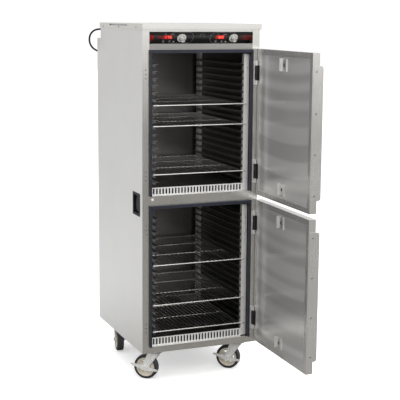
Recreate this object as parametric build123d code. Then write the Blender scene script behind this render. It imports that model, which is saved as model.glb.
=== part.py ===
"""Mobile heated holding cabinet with two compartments, modelled in millimetres.

+Z is up, the doors face -Y and the doors' hinges are on the +X side.
The origin is on the floor, under the middle of the cabinet body.
The doors are modelled open, as they rest.
"""
import math
import os

from build123d import *

# ---- cabinet body -------------------------------------------------------------
caster_height = 157.0
body_width = 630.0
body_depth = 742.0  # lower body, behind the compartments
housing_depth = 680.0  # control housing on top, which is shallower
body_height = 1661.0
housing_bottom = 1577.0  # height of the ledge where the housing starts
sheet = 1.5  # skin thickness
gap = 0.5  # clearance between neighbouring sheets

# ---- top cap ------------------------------------------------------------------
cap_height = 28.0
cap_front_overhang = 16.0
cap_side_overhang = 3.5

# ---- front frame --------------------------------------------------------------
stile_width = 38.0
frame_depth = 20.0
sill_height = 33.0
mid_rail_bottom = 763.0
mid_rail_top = 811.0
header_bottom = 1535.0
header_top = 1564.0
header_depth = 46.0
lip_height = 10.0

# ---- compartments -------------------------------------------------------------
wall = 44.0
liner_back = 692.0
liner_front = 7.0
lower_floor = 26.0
upper_floor = 801.0
compartment_height = 724.0
grille_height = 50.0
grille_front = 16.0
slide_pitch = 34.5
slide_levels = 18
first_slide = 76.0
upright_width = 28.0
upright_depth = 22.0
upright_gap = 3.0
front_upright = 20.0
left_front_upright = 62.0
rear_upright = 640.0
upright_length = 711.0
ledge_width = 17.0
upper_shelf_levels = [1, 8, 11]
lower_shelf_levels = [0, 4, 10]

# ---- wire shelves -------------------------------------------------------------
shelf_front = 14.0
shelf_length = 640.0
shelf_width = 472.0
shelf_bar_length = 504.0
rim_radius = 3.0
side_wire_radius = 2.6
cross_wire_radius = 2.3
rod_radius = 2.1
weld_depth = 1.5
rod_pitch = 22.7
rod_count = 21

# ---- door gaskets -------------------------------------------------------------
gasket_thick = 15.0
gasket_side = 9.0
gasket_top = 16.0

# ---- doors --------------------------------------------------------------------
door_width = 606.0
door_thick = 37.5
door_gap = 16.0
upper_door = (790.6, 1538.0)
lower_door = (11.6, 763.6)
door_margin = (body_width - door_width) / 2
door_flange = 26.0
door_rest_angle = 89.0

# ---- hinges -------------------------------------------------------------------
hinge_x = 613.0
hinge_y = -9.0
hinge_height = 120.0
hinge_from_edge = 122.0
knuckle_radius = 5.0
pin_radius = 2.5
pin_clearance = 0.06
door_knuckle = 76.0
leaf_width = 15.0
leaf_thick = 2.4

# ---- door handles -------------------------------------------------------------
handle_from_edge = 61.0
handle_reach = 18.0
handle_return = 30.0
handle_sheet = 2.0
handle_corner = 12.0
handle_screw_from_edge = 86.0
handle_screws = 4

# ---- vent plates on the doors' inner faces -------------------------------------
vent_from_edge = 69.0
vent_width = 60.0
vent_height = 62.0
vent_flange = 11.0
vent_hole = 9.0

# ---- control panel ------------------------------------------------------------
panel_tilt = 33.0
panel_height = 69.0
panel_thick = 3.0
panel_y = 25.0
panel_z = 1593.0
group_pitch = 280.0
display_size = (48.0, 22.0)
knob_centre = (-98.4, -2.0)  # from the panel's middle, for the left group
display_centre = (-172.5, 3.0)
button_centres = [(-192.6, -22.0), (-159.6, -22.0)]
lamp_centre = (-138.5, -22.0)
dial_radius = 23.5
knob_radius = 11.0
knob_length = 24.0
shaft_radius = 3.0
button_radius = 7.5
button_travel = 2.0
rocker_centre = (-257.0, 0.0)
rocker_size = (20.0, 34.0)
rocker_angle = 8.0

# ---- grip cups ----------------------------------------------------------------
cup_front = 36.0
cup_length = 104.0
cup_bottom = 704.0
cup_height = 116.0
cup_depth = 26.0
cup_rim = 9.0

# ---- casters ------------------------------------------------------------------
wheel_radius = 63.5
tyre_width = 38.0
tyre_thick = 14.0
core_width = 32.0
hub_radius = 15.0
axle_radius = 6.0
axle_clearance = 0.08
trail = 42.0
leg_inner = 22.0
leg_thick = 3.0
yoke_bottom = 137.0
kingpin_radius = 6.0
plate_size = (68.0, 95.0)
plate_thick = 4.0
caster_inset = 74.0
front_caster_inset = 83.5
caster_front = 57.0
caster_rear = 624.0
front_heading = -40.0
rear_left_heading = 80.0
rear_right_heading = 65.0
lever_half = 74.0
lever_tilt = 10.0

# ---- power cord ---------------------------------------------------------------
cord_diameter = 10.0
coil_radius = 50.0
coil_width = 22.0
coil_height = 20.0
coil_centre = (345.0, 862.0)
plug_radius = 17.0
plug_length = 52.0


def at(x, y, z):
    """A point given from the body's left front bottom corner."""
    return Vector(x - body_width / 2, y - body_depth / 2, z + caster_height)


def slab(x0, x1, y0, y1, z0, z1):
    """A box between two corners, given from the body's left front bottom corner."""
    centre = at((x0 + x1) / 2, (y0 + y1) / 2, (z0 + z1) / 2)
    return Pos(centre) * Box(x1 - x0, y1 - y0, z1 - z0)


def rod(start, end, radius):
    """A round bar between two points."""
    start, end = Vector(*start), Vector(*end)
    run = end - start
    return Plane(origin=start, z_dir=run) * Cylinder(
        radius, run.length, align=(Align.CENTER, Align.CENTER, Align.MIN)
    )


def disc(centre, direction, radius, length):
    """A round disc that starts at a point and runs along a direction."""
    return Plane(origin=centre, z_dir=direction) * Cylinder(
        radius, length, align=(Align.CENTER, Align.CENTER, Align.MIN)
    )


def node(name, *shapes):
    """Write one sub-part, made of one or more separate solids."""
    solids = []
    for shape in shapes:
        solids += shape.solids()
    whole = solids[0] if len(solids) == 1 else Compound(children=solids)
    export_step(whole, f"parts/{name}.step")


os.makedirs("parts", exist_ok=True)


# ---- outer skins --------------------------------------------------------------
def side_panel(left):
    """Flat side skin with the step at the rear top and the hole for the grip cup, in five flat pieces."""
    x0 = 0 if left else body_width - sheet
    x1 = x0 + sheet
    hole_front, hole_back = cup_front + cup_rim, cup_front + cup_length - cup_rim
    hole_low, hole_high = cup_bottom + cup_rim, cup_bottom + cup_height - cup_rim
    top, step = body_height - cap_height, housing_bottom - sheet
    return [
        slab(x0, x1, 0, hole_front, 0, top),
        slab(x0, x1, hole_front, hole_back, 0, hole_low),
        slab(x0, x1, hole_front, hole_back, hole_high, top),
        slab(x0, x1, hole_back, body_depth - sheet - gap, 0, step),
        slab(x0, x1, hole_back, housing_depth - sheet - gap, step, top),
    ]


def top_cap():
    """Shallow lid with a skirt on all four sides, and a vent slot in each side skirt."""
    x0, x1 = -cap_side_overhang, body_width + cap_side_overhang
    y0, y1 = -cap_front_overhang, housing_depth + cap_side_overhang
    z0, z1 = body_height - cap_height, body_height
    lid = slab(x0, x1, y0, y1, z0, z1) - slab(
        x0 + sheet, x1 - sheet, y0 + sheet, y1 - sheet, z0 - 1, z1 - sheet
    )
    vent_length, vent_height_mm, vent_middle = 288.0, 7.0, 362.0
    slot_z = z1 - 9.0
    for x in (x0, x1):
        lid -= slab(
            x - sheet - 1,
            x + sheet + 1,
            vent_middle - vent_length / 2,
            vent_middle + vent_length / 2,
            slot_z - vent_height_mm / 2,
            slot_z + vent_height_mm / 2,
        )
    return lid


def rear_cover():
    """Back skin of the lower body, bent over at the top into the ledge under the housing."""
    x0, x1 = gap + sheet, body_width - gap - sheet
    back = slab(x0, x1, body_depth - sheet, body_depth, 0, housing_bottom)
    ledge = slab(x0, x1, housing_depth + gap, body_depth, housing_bottom - sheet, housing_bottom)
    return back + ledge


def housing_back():
    """Rear wall of the control housing, with louvre slots and the hole for the strain relief."""
    x0, x1 = gap + sheet, body_width - gap - sheet
    wall_plate = slab(
        x0, x1, housing_depth - sheet, housing_depth, housing_bottom + gap, body_height - cap_height - gap
    )
    louvre_rows, louvre_width = 3, 300.0
    for i in range(louvre_rows):
        z = housing_bottom + 16.0 + i * 12.0
        wall_plate -= slab(
            body_width / 2 - louvre_width / 2,
            body_width / 2 + louvre_width / 2,
            housing_depth - sheet - 1,
            housing_depth + 1,
            z,
            z + 4.0,
        )
    hole = disc(at(cord_exit[0], housing_depth - sheet - 1, cord_exit[2]), (0, 1, 0), relief_neck + 0.2, 5)
    return wall_plate - hole


def base_chassis():
    """Bottom sheet with two cross channels that carry the casters."""
    x0, x1 = sheet + gap, body_width - sheet - gap
    y0, y1 = frame_depth + gap, body_depth - sheet - gap
    floor = slab(x0, x1, y0, y1, 0, 2.0)
    channels = []
    channel_height = lower_floor - 4.0
    for y in (caster_front, caster_rear):
        outer = slab(x0, x1, y - 34, y + 34, 2.0 + 0.2, channel_height)
        inner = slab(x0 - 1, x1 + 1, y - 31.5, y + 31.5, 2.0, channel_height - 2.5)
        channels.append(outer - inner)
    return [floor, *channels]


# ---- front frame --------------------------------------------------------------
def channel(x0, x1, y0, y1, z0, z1):
    """A bar bent from sheet, open at its back."""
    outer = slab(x0, x1, y0, y1, z0, z1)
    inner = slab(x0 + sheet, x1 - sheet, y0 + sheet, y1 + 1, z0 + sheet, z1 - sheet)
    return outer - inner


def front_frame():
    top = body_height - cap_height - gap
    inner_left, inner_right = stile_width, body_width - stile_width
    stiles = [
        channel(sheet + 0.2, inner_left, 0, frame_depth, 0, top),
        channel(inner_right, body_width - sheet - 0.2, 0, frame_depth, 0, top),
    ]
    x0, x1 = inner_left + 0.2, inner_right - 0.2
    header = channel(x0, x1, 0, header_depth, header_bottom, header_top)
    header = fillet(header.edges().filter_by(Axis.Y).group_by(Axis.Z)[-1].sort_by(Axis.X)[0], 4)
    rails = [
        header,
        channel(x0, x1, 0, frame_depth, mid_rail_bottom, mid_rail_top),
        channel(x0, x1, 0, frame_depth, 0, sill_height),
        slab(x0, x1, 2, 4, top - lip_height, top),
    ]
    return stiles + rails


# ---- compartments -------------------------------------------------------------
def liner(floor, rail_top):
    """Five welded sheets that line one compartment, the sides notched above the rail."""
    top = floor + compartment_height
    x0, x1 = wall, body_width - wall
    t = sheet
    sides = []
    for a, b in ((x0 - t, x0), (x1, x1 + t)):
        side = slab(a, b, liner_front, liner_back, rail_top + gap, top)
        sides.append(side + slab(a, b, frame_depth + gap, liner_back, floor, top))
    return [
        *sides,
        slab(x0 - t, x1 + t, liner_back + 0.2, liner_back + t + 0.2, floor, top),
        slab(x0 - t, x1 + t, frame_depth + gap, liner_back, floor - t - 0.2, floor - 0.2),
        slab(x0 - t, x1 + t, liner_front, liner_back, top + 0.2, top + t + 0.2),
    ]


def insulation():
    """Batts between the skins and the liners."""
    inside = sheet + 2 * gap
    inner = wall - sheet - gap
    top = header_bottom - gap
    batts = []
    for x0, x1 in ((inside, inner), (body_width - inner, body_width - inside)):
        batt = slab(x0, x1, frame_depth + 2 * gap, body_depth - 2 * sheet, lower_floor, top)
        room = slab(
            x0 - 1,
            x1 + 1,
            cup_front - 2,
            cup_front + cup_length + 2,
            cup_bottom - 2,
            cup_bottom + cup_height + 2,
        )
        batts.append(batt - room)
    x0, x1 = inner + gap, body_width - inner - gap
    batts.append(slab(x0, x1, liner_back + 3, body_depth - 2 * sheet, lower_floor, top))
    lower_top = lower_floor + compartment_height + 3
    batts.append(slab(x0, x1, frame_depth + 2 * gap, liner_back + 2, lower_top, upper_floor - 3))
    return batts


def uprights(floor):
    """Four channels that stand in the corners and hold the tray slides."""
    bars = []
    for left in (True, False):
        x0 = wall + upright_gap if left else body_width - wall - upright_gap - upright_width
        for y0 in (left_front_upright if left else front_upright, rear_upright):
            z0 = floor + grille_height + 2 if y0 == rear_upright else floor + 11
            z1 = floor + upright_length
            bar = slab(x0, x0 + upright_width, y0, y0 + upright_depth, z0, z1)
            bar -= slab(
                x0 + sheet,
                x0 + upright_width - sheet,
                y0 + (-1 if y0 == rear_upright else sheet),
                y0 + upright_depth + (-sheet if y0 == rear_upright else 1),
                z0 - 1,
                z1 + 1,
            )
            groove = 3.0
            middle = x0 + upright_width / 2
            if y0 != rear_upright:
                bar -= slab(middle - groove / 2, middle + groove / 2, y0 - 1, y0 + 0.7, z0 - 1, z1 + 1)
                for z in (z1 - 72, z0 + 62):
                    bar -= disc(at(x0 + upright_width * 0.75, y0 - 1, z), (0, 1, 0), 3.5, 4)
            bars.append(bar)
    return bars


def tray_slides(floor):
    """Bent angles on both sides, one pair for each level."""
    angles = []
    leg = 14.0
    x_in = wall + upright_gap + upright_width
    y0, y1 = front_upright + 2, rear_upright + upright_depth - 2
    for level in range(slide_levels):
        z = floor + first_slide + level * slide_pitch
        for side in (0, 1):
            a, b = x_in + 0.2, x_in + 0.2 + sheet
            c = x_in + ledge_width
            if side:
                a, b, c = body_width - a, body_width - b, body_width - c
            upright_leg = slab(min(a, b), max(a, b), y0, y1, z - leg, z)
            ledge = slab(min(a, c), max(a, c), y0, y1, z - sheet, z)
            angles.append(upright_leg + ledge)
    return angles


def floor_grille(floor, rail_top):
    """Cover over the heating element: a slotted front strip and a plate back over the floor."""
    slots = 29
    x0, x1 = wall + 8, body_width - wall - 33
    low = rail_top + gap
    front = slab(x0, x1, grille_front, grille_front + sheet, low, floor + grille_height)
    pitch = (x1 - x0 - 12) / slots
    slot_width = pitch * 0.48
    margin = 5.5
    for i in range(slots):
        middle = x0 + 6 + pitch * (i + 0.5)
        front -= slab(
            middle - slot_width / 2,
            middle + slot_width / 2,
            grille_front - 1,
            grille_front + sheet + 1,
            low + margin,
            floor + grille_height - margin,
        )
    notch_x = wall + upright_gap + upright_width + 1
    top = floor + grille_height
    back = grille_front + sheet + 0.1
    cover = slab(notch_x, body_width - notch_x, back, rear_upright - 6, top - sheet, top)
    return [front, cover]


def heating_element(floor):
    """Sheathed tube bent into three loops, with both ends at the back."""
    radius, bend = 4.0, 32.0
    z = floor + 24.0
    near, far = 70.0, 610.0
    xs = [150.0, 216.0, 282.0, 348.0, 414.0, 480.0]
    points = [at(xs[0], far, z)]
    for i, x in enumerate(xs):
        y_first, y_last = (far, near) if i % 2 == 0 else (near, far)
        if i:
            points.append(at(x, y_first, z))
        points.append(at(x, y_last, z))
    path = FilletPolyline(*points, radius=bend)
    section = Plane(origin=path @ 0, z_dir=path % 0) * Circle(radius)
    return sweep(section, path)


def wire_shelf():
    """Welded wire shelf: its long front wire, and the rest of the rim with rods and cross wires."""
    z = rim_radius + 0.4 - caster_height
    middle = body_width / 2
    x0, x1 = middle - shelf_width / 2 + rim_radius, middle + shelf_width / 2 - rim_radius
    y0, y1 = shelf_front, shelf_front + shelf_length
    bar = shelf_bar_length / 2
    wires = [rod(at(middle - bar, y0, z), at(middle + bar, y0, z), rim_radius)]
    wires.append(rod(at(x0 - 2, y1, z), at(x1 + 2, y1, z), rim_radius))
    for x in (x0, x1):
        wires.append(rod(at(x, y0, z), at(x, y1, z), side_wire_radius))
    for y in (y0 + shelf_length * 0.36, y0 + shelf_length * 0.7):
        wires.append(rod(at(x0, y, z), at(x1, y, z), cross_wire_radius))
    top = z + rim_radius + rod_radius - weld_depth
    first = middle - rod_pitch * (rod_count - 1) / 2
    for i in range(rod_count):
        x = first + i * rod_pitch
        wires.append(rod(at(x, y0 - 1.9, top), at(x, y1 + 1.7, top), rod_radius))
    front = wires[0]
    return [front, (wires[1] + wires[2:]) - front]


def shelf_height(floor, level):
    return floor + caster_height + first_slide + level * slide_pitch


# ---- door gaskets -------------------------------------------------------------
def gasket(bottom, top):
    """Two side strips and a top strip around one compartment's mouth."""
    y0, y1 = -gasket_thick, liner_front - gap
    x0 = stile_width + 0.3
    x1 = body_width - stile_width - 0.3
    return [
        slab(x0, x0 + gasket_side, y0, y1, bottom, top - gasket_top - 0.1),
        slab(x1 - gasket_side, x1, y0, y1, bottom, top - gasket_top - 0.1),
        slab(x0, x1, y0, y1, top - gasket_top, top - 0.3),
    ]


# ---- control panel ------------------------------------------------------------
panel_face = Plane(
    origin=at(body_width / 2, panel_y, panel_z),
    x_dir=(1, 0, 0),
    z_dir=(0, -math.cos(math.radians(panel_tilt)), -math.sin(math.radians(panel_tilt))),
)


def on_panel(shape, u=0.0, v=0.0, w=0.0):
    """Place a shape on the panel: u to the right, v up the slope, w out of the face."""
    return panel_face * (Pos(u, v, w) * shape)


def post(radius, w0, w1):
    """A round shape standing on the panel between two heights."""
    return Pos(0, 0, w0) * Cylinder(radius, w1 - w0, align=(Align.CENTER, Align.CENTER, Align.MIN))


def block(width, height, w0, w1):
    return Pos(0, 0, (w0 + w1) / 2) * Box(width, height, w1 - w0)


groups = (0.0, group_pitch)


def control_panel():
    """Sloping plate with openings for the controls, and the rocker switch's bezel."""
    plate = block(body_width - 2 * stile_width - 1, panel_height, -panel_thick, 0)
    for shift in groups:
        plate -= Pos(knob_centre[0] + shift, knob_centre[1]) * post(shaft_radius + 0.8, -panel_thick - 1, 1)
        for u, v in button_centres:
            plate -= Pos(u + shift, v) * post(button_radius + 0.4, -panel_thick - 1, 1)
        plate -= Pos(display_centre[0] + shift, display_centre[1]) * block(
            display_size[0], display_size[1], -1.0, 1
        )
    opening = block(rocker_size[0] + 1.2, rocker_size[1] + 1.2, -40, 20)
    plate -= Pos(*rocker_centre) * opening
    bezel = block(rocker_size[0] + 5, rocker_size[1] + 5, -14, 1.6) - block(
        rocker_size[0] + 1.2, rocker_size[1] + 1.2, -12.5, 3
    )
    plate -= Pos(*rocker_centre) * block(rocker_size[0] + 5.4, rocker_size[1] + 5.4, -40, 20)
    return [panel_face * plate, on_panel(bezel, *rocker_centre)]


def display_lenses():
    """Display windows and round indicator lenses."""
    parts = []
    for shift in groups:
        window = block(display_size[0] - 0.6, display_size[1] - 0.6, -0.9, 0.4)
        parts.append(on_panel(window, display_centre[0] + shift, display_centre[1]))
        parts.append(on_panel(post(2.6, 0.1, 2.2), lamp_centre[0] + shift, lamp_centre[1]))
    return parts


def dial_rings():
    """Flat scale rings behind the knobs."""
    rings = []
    for shift in groups:
        ring = post(dial_radius, 0.1, 1.2) - post(knob_radius + 3.5, -1, 3)
        rings.append(on_panel(ring, knob_centre[0] + shift, knob_centre[1]))
    return rings


def knob(shift):
    """Turned knob with a skirt, a grip ridge and a shaft through the panel."""
    shape = post(knob_radius + 2.5, 0.6, 4) + post(knob_radius, 4, knob_length)
    shape = fillet(shape.edges().filter_by(GeomType.CIRCLE).sort_by(Axis.Z)[-1], 1.5)
    shape += Pos(0, knob_radius * 0.45, knob_length) * block(2.6, knob_radius * 1.0, -1.5, 0.9)
    shape += post(shaft_radius, -12, 1)
    return on_panel(shape, knob_centre[0] + shift, knob_centre[1])


def push_button(u, v):
    """Round push button with a collar behind the panel."""
    shape = post(button_radius, -8, 2.6)
    shape = fillet(shape.edges().filter_by(GeomType.CIRCLE).sort_by(Axis.Z)[-1], 0.8)
    shape += post(button_radius + 1.8, -8, -panel_thick - 0.5)
    return on_panel(shape, u, v)


def rocker():
    """Rocker with two sloping faces, pivoting on a cross pin's line."""
    half = rocker_size[1] / 2 - 0.4
    with BuildSketch(Plane.YZ) as profile:
        with BuildLine():
            Polyline((-half, 0.5), (0, 2.0), (half, 0.5), (half - 3, -7), (-half + 3, -7), (-half, 0.5))
        make_face()
    body = extrude(profile.sketch, amount=rocker_size[0] / 2, both=True)
    body = body.rotate(Axis((0, 0, -3), (1, 0, 0)), rocker_angle)
    return on_panel(body, *rocker_centre)


# ---- grip cups ----------------------------------------------------------------
def grip_cup(left):
    """Moulded hand hold set into the side skin, deeper towards its top."""
    middle = at(0 if left else body_width, cup_front + cup_length / 2, cup_bottom + cup_height / 2)
    inwards = (1, 0, 0) if left else (-1, 0, 0)
    face = Plane(origin=middle, x_dir=(0, 1, 0), z_dir=inwards)
    bezel = Pos(0, 0, -1.1) * Box(cup_length, cup_height, 2.0)
    pocket_length, pocket_height = cup_length - 2 * cup_rim - 1, cup_height - 2 * cup_rim - 1
    shell = Pos(0, 0, cup_depth / 2 - 0.2) * Box(pocket_length, pocket_height, cup_depth)
    hollow = extrude(
        Plane.XY.offset(-3) * Rectangle(pocket_length - 5, pocket_height - 5), amount=cup_depth, taper=4
    )
    return face * (fillet((bezel + shell).edges().filter_by(Axis.Z), 1.5) - hollow)


# ---- doors, made closed and then turned open -----------------------------------
hinge_axis = Axis(at(hinge_x, hinge_y, 0), (0, 0, 1))


def opened(shape):
    return shape.rotate(hinge_axis, door_rest_angle)


door_left, door_right = door_margin, body_width - door_margin
door_inner, door_outer = -door_gap, -door_gap - door_thick


def door_skin(z0, z1):
    """Outer pan with a flange turned in around the inner face."""
    skin = slab(door_left, door_right, door_outer, door_inner, z0, z1)
    vertical = skin.edges().filter_by(Axis.Z).group_by(Axis.Y)[0]
    skin = fillet(vertical, 3)
    skin -= slab(
        door_left + sheet,
        door_right - sheet,
        door_outer + sheet,
        door_inner - sheet,
        z0 + sheet,
        z1 - sheet,
    )
    skin -= slab(
        door_left + door_flange,
        door_right - door_flange,
        door_inner - 2 * sheet,
        door_inner + 1,
        z0 + door_flange,
        z1 - door_flange,
    )
    return skin


def door_liner(z0, z1):
    """Inner sheet, seated behind the flange."""
    inset = door_flange - 12
    face = door_inner - sheet - 0.2
    return slab(door_left + inset, door_right - inset, face - sheet, face, z0 + inset, z1 - inset)


def door_core(z0, z1):
    return slab(
        door_left + 2.5,
        door_right - 2.5,
        door_outer + 2.2,
        door_inner - 2 * sheet - 0.8,
        z0 + 2.5,
        z1 - 2.5,
    )


def handle(z0, z1):
    """Bent sheet pull screwed to the door's free edge, with its screws."""
    a, b = z0 + handle_from_edge, z1 - handle_from_edge
    outer = door_outer - handle_reach
    flange = slab(door_left - handle_sheet - 0.1, door_left - 0.1, outer, door_inner - 6, a, b)
    corners = flange.edges().filter_by(Axis.X).group_by(Axis.Y)[0]
    flange = fillet(corners, handle_corner)
    x0 = door_left - handle_sheet - 0.1
    trim = handle_corner
    flange += slab(x0, x0 + handle_return, outer, outer + handle_sheet, a + trim, b - trim)
    flange += slab(
        x0 + handle_return - handle_sheet, x0 + handle_return, outer, outer + 8, a + trim, b - trim
    )
    pieces = [flange]
    first, last = z0 + handle_screw_from_edge, z1 - handle_screw_from_edge
    for i in range(handle_screws):
        z = first + (last - first) * i / (handle_screws - 1)
        pieces.append(disc(at(x0 - 0.1, door_inner - 20, z), (-1, 0, 0), 4.0, 1.6))
    return pieces


def vent_plates(z0, z1):
    """Pressed plates near the top and bottom of the inner face, each with one flange and a hole."""
    plates = []
    back = door_inner - sheet - 0.1
    x0 = body_width / 2 - vent_width / 2
    for z in (z0 + vent_from_edge, z1 - vent_from_edge):
        low, high = z - vent_height / 2, z + vent_height / 2
        plate = slab(x0, x0 + vent_width, back, back + sheet, low, high)
        plate += slab(x0 + vent_width - sheet, x0 + vent_width, back, back + vent_flange, low, high)
        plate += slab(x0, x0 + sheet, back, back + 5, low, high)
        for edge in (low, high):
            plate -= slab(x0 + 22, x0 + 30, back - 1, back + 3, edge - 7, edge + 7)
        hole = disc(at(x0 + vent_width / 2, back - 1, z), (0, 1, 0), vent_hole, 4)
        plates.append(plate - hole)
    return plates


def hinge_centres(z0, z1):
    return (z0 + hinge_from_edge, z1 - hinge_from_edge)


def knuckle(z0, z1):
    low = at(hinge_x, hinge_y, z0)
    high = at(hinge_x, hinge_y, z1)
    return rod(low, high, knuckle_radius)


def pin_hole(z0, z1):
    return rod(at(hinge_x, hinge_y, z0 - 5), at(hinge_x, hinge_y, z1 + 5), pin_radius + pin_clearance)


def door_leaf(z):
    """Leaf on the door's inner face with the middle knuckle."""
    half = door_knuckle / 2 - 0.4
    leaf = slab(hinge_x - 19, hinge_x - 4, door_inner + 0.1, door_inner + 0.1 + leaf_thick, z - half, z + half)
    web = slab(hinge_x - 6, hinge_x, door_inner + 0.1, hinge_y, z - half, z + half)
    return leaf + web + knuckle(z - half, z + half) - pin_hole(z - half, z + half)


def frame_leaf(z):
    """Leaf on the stile with the two end knuckles, and its pin as a second solid."""
    half = hinge_height / 2
    inner = door_knuckle / 2
    back = -0.1
    leaf = slab(hinge_x - 19, hinge_x - 7, back - leaf_thick, back, z - half, z + half)
    for low, high in ((z - half, z - inner), (z + inner, z + half)):
        web = slab(hinge_x - 9, hinge_x, hinge_y, back, low, high)
        end = knuckle(low, high)
        leaf += web + end - pin_hole(low, high)
    pin = rod(at(hinge_x, hinge_y, z - half), at(hinge_x, hinge_y, z + half), pin_radius)
    return [leaf, pin]


# ---- casters ------------------------------------------------------------------
def placed(shape, x, y, heading):
    """Turn a caster piece about its kingpin and set it under the body; floor is z = 0."""
    ground = at(x, y, -caster_height)
    return Pos(ground) * (Rot(0, 0, heading) * shape)


def caster_plate():
    """Top plate with the ball race, the kingpin and its nut."""
    top = caster_height - 0.2
    plate = Pos(0, 0, top - plate_thick / 2) * Box(plate_size[0], plate_size[1], plate_thick)
    plate = fillet(plate.edges().filter_by(Axis.Z), 8)
    race_bottom = yoke_bottom + leg_thick + 0.5
    low = Align.MIN
    plate += Pos(0, 0, race_bottom) * Cone(
        24, 31, top - plate_thick - race_bottom, align=(Align.CENTER, Align.CENTER, low)
    )
    plate += Pos(0, 0, yoke_bottom - 9) * Cylinder(
        kingpin_radius, 20, align=(Align.CENTER, Align.CENTER, low)
    )
    nut = extrude(Plane.XY.offset(yoke_bottom - 9) * RegularPolygon(9.5, 6), amount=8.4)
    return plate + nut


def fork(braked):
    """Swivel fork: a yoke, two tapering legs and the axle bolt through them."""
    yoke = Pos(2, 0, yoke_bottom + leg_thick / 2) * Box(60, 2 * leg_inner + 2 * leg_thick, leg_thick)
    yoke -= Cylinder(kingpin_radius + axle_clearance, 400)
    with BuildSketch(Plane.XZ) as outline:
        with BuildLine():
            Polyline(
                (-trail - 13, wheel_radius + 7),
                (-28, yoke_bottom + leg_thick),
                (32, yoke_bottom + leg_thick),
                (-trail + 14, wheel_radius - 6),
                (-trail - 13, wheel_radius + 7),
            )
        make_face()
        with Locations((-trail, wheel_radius)):
            Circle(15)
            Circle(axle_radius + 0.05, mode=Mode.SUBTRACT)
    shape = yoke
    for side in (-1, 1):
        start = leg_inner if side > 0 else -leg_inner
        leg = extrude(outline.sketch, amount=-leg_thick * side)
        shape += Pos(0, start, 0) * leg
    reach = 34 if braked else 30
    bolt = rod((-trail, -reach, wheel_radius), (-trail, 29, wheel_radius), axle_radius)
    head = 28.9 if not braked else 32.9
    outer = disc((-trail, -head, wheel_radius), (0, -1, 0), 10, 5)
    inner = disc((-trail, leg_inner + leg_thick + 0.1, wheel_radius), (0, 1, 0), 10, 6)
    return [shape, bolt + outer + inner]


def wheel():
    """Rubber tyre and a moulded core with oval openings in its web."""
    centre = (-trail, 0, wheel_radius)
    band_outer = wheel_radius - tyre_thick
    turn = Plane(origin=centre, x_dir=(1, 0, 0), z_dir=(0, 1, 0))
    tyre = Cylinder(wheel_radius, tyre_width)
    tyre = fillet(tyre.edges().filter_by(GeomType.CIRCLE), 7)
    tyre -= Cylinder(band_outer + 0.05, tyre_width + 2)
    web = 10.0
    rim = Cylinder(band_outer, core_width) - Cylinder(band_outer - 5, core_width + 2)
    core = rim + Cylinder(band_outer - 3, web) + Cylinder(hub_radius, 2 * leg_inner - 1.5)
    openings = 6
    middle = (hub_radius + band_outer - 5) / 2
    for i in range(openings):
        slot = extrude(Plane.XY.offset(-web) * SlotCenterToCenter(9, 8.5), amount=2 * web)
        core -= Rot(0, 0, 360 / openings * i) * (Pos(middle, 0) * (Rot(0, 0, 90) * slot))
    core -= Cylinder(axle_radius + axle_clearance, 3 * core_width)
    return [turn * tyre, turn * core]


def brake_lever():
    """Side lock lever: two wings with turned-out treads, pivoting on the axle."""
    y0 = -leg_inner - leg_thick - 2.5
    face = Plane(origin=(-trail, y0, wheel_radius), x_dir=(1, 0, 0), z_dir=(0, -1, 0))
    with BuildSketch() as outline:
        with BuildLine():
            Polyline(
                (-lever_half, 6), (-lever_half, -2), (-26, -12), (0, -17), (26, -12),
                (lever_half, -2), (lever_half, 6), (24, 11), (0, 15), (-24, 11), (-lever_half, 6),
            )
        make_face()
        Circle(axle_radius + 0.4, mode=Mode.SUBTRACT)
    lever = extrude(outline.sketch, amount=2.5)
    for side in (-1, 1):
        lever += Pos(side * (lever_half - 8), 5, 7) * Box(18, 2.5, 14)
    lever = lever.rotate(Axis.Z, -lever_tilt)
    return face * lever


casters = [
    ("front_left", front_caster_inset, caster_front, front_heading, True),
    ("front_right", body_width - front_caster_inset, caster_front, front_heading, True),
    ("rear_left", caster_inset, caster_rear, rear_left_heading, False),
    ("rear_right", body_width - caster_inset, caster_rear, rear_right_heading, False),
]


# ---- power cord ---------------------------------------------------------------
cord_exit = (45.0, housing_depth, 1622.0)
relief_neck = 8.0
relief_length = 32.0
floor_level = -caster_height + cord_diameter / 2
cord_route = [
    (45.0, housing_depth + relief_length, cord_exit[2]),
    (44.6, 735.0, 1622.4),
    (29.0, 764.0, 1625.0),
    (-4.0, 787.0, 1620.0),
    (-24.0, 812.0, 1589.0),
    (-24.0, 811.0, 1542.0),
    (-2.0, 786.0, 1509.0),
    (43.0, 764.0, 1495.0),
    (98.0, 756.5, 1479.0),
    (150.0, 753.5, 1447.0),
    (184.0, 752.5, 1392.0),
    (203.0, 754.0, 1290.0),
    (214.0, 758.0, 1165.0),
    (219.0, 764.0, 1040.0),
    (220.0, 771.0, 912.0),
    (217.0, 777.0, 784.0),
    (212.0, 781.0, 656.0),
    (206.0, 782.0, 528.0),
    (202.0, 780.0, 400.0),
    (201.0, 777.0, 274.0),
    (204.0, 775.0, 150.0),
    (211.0, 777.0, 32.0),
    (221.0, 785.0, -66.0),
    (234.0, 803.0, -131.0),
    (268.0, 811.0, floor_level),
]
coil_entry = (coil_centre[0] - 22.0, coil_centre[1] - coil_radius, floor_level)
plug_start = (coil_centre[0] + 109.0, coil_centre[1] + 2.0, -caster_height + plug_radius)
tail_route = [
    (coil_centre[0] + 43.0, coil_centre[1] - 33.0, -caster_height + 14.0),
    (coil_centre[0] + 78.0, coil_centre[1] - 13.0, -caster_height + plug_radius),
    plug_start,
]


def corner_radii(points):
    """Largest arcs that the runs allow, one for each corner."""
    spots = [Vector(*p) for p in points]
    radii = []
    for before, corner, after in zip(spots, spots[1:], spots[2:]):
        a, b = corner - before, after - corner
        half = math.radians(a.get_angle(b)) / 2
        radii.append(0.45 * min(a.length, b.length) / math.tan(half))
    return radii


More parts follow.
